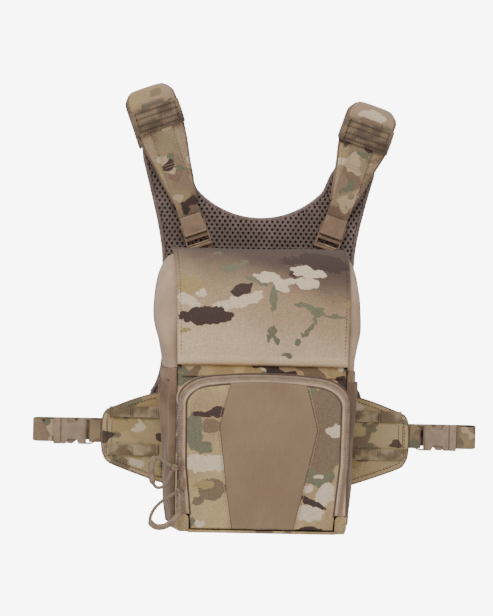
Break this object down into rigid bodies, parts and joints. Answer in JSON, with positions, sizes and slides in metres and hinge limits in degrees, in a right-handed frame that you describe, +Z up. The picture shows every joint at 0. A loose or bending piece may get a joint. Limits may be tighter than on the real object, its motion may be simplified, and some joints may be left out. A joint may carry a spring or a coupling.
{
  "type": "binocular harness pack",
  "caption": "Chest pack for a binocular: forward-opening lid, zipped front pocket, side pockets, mesh back panel, shoulder straps and side-release buckles.",
  "frame": {"origin": "middle of the mesh back panel's wearer face, the chest mount", "axes": "+Z up, the front faces -Y, +X to the right as seen from the front"},
  "size_m": [0.422, 0.1424, 0.425],
  "materials": {
    "spacer_mesh": "matt spacer mesh",
    "camo_fabric": "matt woven camouflage nylon",
    "camo_webbing": "matt woven camouflage webbing",
    "stretch_fabric": "matt stretch woven, tan",
    "tan_binding": "matt woven binding and zip tape, tan",
    "zip_coil": "moulded nylon coil, tan",
    "tan_plastic": "satin moulded acetal, tan",
    "slider_metal": "painted die-cast, tan",
    "foam": "closed-cell foam",
    "lining": "brushed lining",
    "magnet": "nickel-plated magnet",
    "pull_cord": "braided nylon cord, tan",
    "pull_grip": "soft moulded tube, tan-grey"
  },
  "bodies": {
    "root": {"back_panel": "spacer_mesh", "rear_yoke": "spacer_mesh", "wing_left": "camo_fabric", "wing_right": "camo_fabric", "main_pouch": "camo_fabric", "pocket_gusset": "camo_fabric", "shoulder_strap_left": "camo_fabric", "shoulder_strap_right": "camo_fabric", "wing_rows_left": "camo_webbing", "wing_rows_right": "camo_webbing", "wing_strap_left": "camo_webbing", "wing_strap_right": "camo_webbing", "shoulder_webbing_left": "camo_webbing", "shoulder_webbing_right": "camo_webbing", "strap_keeper_left": "camo_webbing", "strap_keeper_right": "camo_webbing", "anchor_webbing_left": "camo_webbing", "anchor_webbing_right": "camo_webbing", "rear_webbing_left": "camo_webbing", "rear_webbing_right": "camo_webbing", "side_gusset_left": "stretch_fabric", "side_gusset_right": "stretch_fabric", "side_pocket_left": "stretch_fabric", "side_pocket_right": "stretch_fabric", "side_hem_left": "tan_binding", "side_hem_right": "tan_binding", "zip_tape_body": "tan_binding", "zip_coil_body": "zip_coil", "ladder_lock_left": "tan_plastic", "ladder_lock_right": "tan_plastic", "buckle_socket_left": "tan_plastic", "buckle_socket_right": "tan_plastic", "yoke_adjusters": "tan_plastic", "foam_panels": "foam", "pouch_magnets": "magnet"},
    "lid": {"lid_shell": "camo_fabric", "lid_lining": "lining", "lid_magnets": "magnet"},
    "pocket_flap": {"zip_tape_flap": "tan_binding", "zip_coil_flap": "zip_coil", "flap_panels": "camo_fabric", "flap_centre": "stretch_fabric"},
    "zip_upper": {"slider_upper": "slider_metal"},
    "zip_lower": {"slider_lower": "slider_metal"},
    "pull_upper": {"pull_cord_upper": "pull_cord", "pull_grip_upper": "pull_grip", "pull_knot_upper": "pull_cord"},
    "pull_lower": {"pull_cord_lower": "pull_cord", "pull_grip_lower": "pull_grip", "pull_knot_lower": "pull_cord"},
    "plug_left": {"buckle_plug_left": "tan_plastic", "side_strap_left": "camo_webbing"},
    "prong_upper_left_arm": {"prong_upper_left": "tan_plastic"},
    "prong_lower_left_arm": {"prong_lower_left": "tan_plastic"},
    "plug_right": {"buckle_plug_right": "tan_plastic", "side_strap_right": "camo_webbing"},
    "prong_upper_right_arm": {"prong_upper_right": "tan_plastic"},
    "prong_lower_right_arm": {"prong_lower_right": "tan_plastic"}
  },
  "joints": [
    {"name": "lid_hinge", "type": "hinge", "parent": "root", "child": "lid", "pos_m": [0, -0.083, 0.0215], "axis": [1, 0, 0], "range_deg": [0, 90]},
    {"name": "pocket_flap_hinge", "type": "hinge", "parent": "root", "child": "pocket_flap", "pos_m": [0, -0.108, -0.1312], "axis": [1, 0, 0], "range_deg": [0, 85]},
    {"name": "zip_upper_slide", "type": "slide", "parent": "pocket_flap", "child": "zip_upper", "axis": [-0.013, 0, 0.9999], "range_m": [0, 0.048]},
    {"name": "zip_lower_slide", "type": "slide", "parent": "pocket_flap", "child": "zip_lower", "axis": [-0.1016, 0, 0.9948], "range_m": [-0.019, 0]},
    {"name": "pull_upper_swing", "type": "hinge", "parent": "zip_upper", "child": "pull_upper", "pos_m": [-0.0783, -0.1145, -0.072], "axis": [1, 0, 0], "range_deg": [-80, 0]},
    {"name": "pull_lower_swing", "type": "hinge", "parent": "zip_lower", "child": "pull_lower", "pos_m": [-0.0764, -0.1145, -0.092], "axis": [1, 0, 0], "range_deg": [-80, 0]},
    {"name": "buckle_release_left", "type": "slide", "parent": "root", "child": "plug_left", "axis": [-1, 0, 0], "range_m": [0, 0.025]},
    {"name": "prong_upper_left_squeeze", "type": "hinge", "parent": "plug_left", "child": "prong_upper_left_arm", "pos_m": [-0.1835, -0.008, -0.0373], "axis": [0, 1, 0], "range_deg": [0, 6], "stiffness_Nm_per_rad": 0.3},
    {"name": "prong_lower_left_squeeze", "type": "hinge", "parent": "plug_left", "child": "prong_lower_left_arm", "pos_m": [-0.1835, -0.008, -0.0487], "axis": [0, -1, 0], "range_deg": [0, 6], "stiffness_Nm_per_rad": 0.3},
    {"name": "buckle_release_right", "type": "slide", "parent": "root", "child": "plug_right", "axis": [1, 0, 0], "range_m": [0, 0.025]},
    {"name": "prong_upper_right_squeeze", "type": "hinge", "parent": "plug_right", "child": "prong_upper_right_arm", "pos_m": [0.1835, -0.008, -0.0373], "axis": [0, -1, 0], "range_deg": [0, 6], "stiffness_Nm_per_rad": 0.3},
    {"name": "prong_lower_right_squeeze", "type": "hinge", "parent": "plug_right", "child": "prong_lower_right_arm", "pos_m": [0.1835, -0.008, -0.0487], "axis": [0, 1, 0], "range_deg": [0, 6], "stiffness_Nm_per_rad": 0.3}
  ]
}
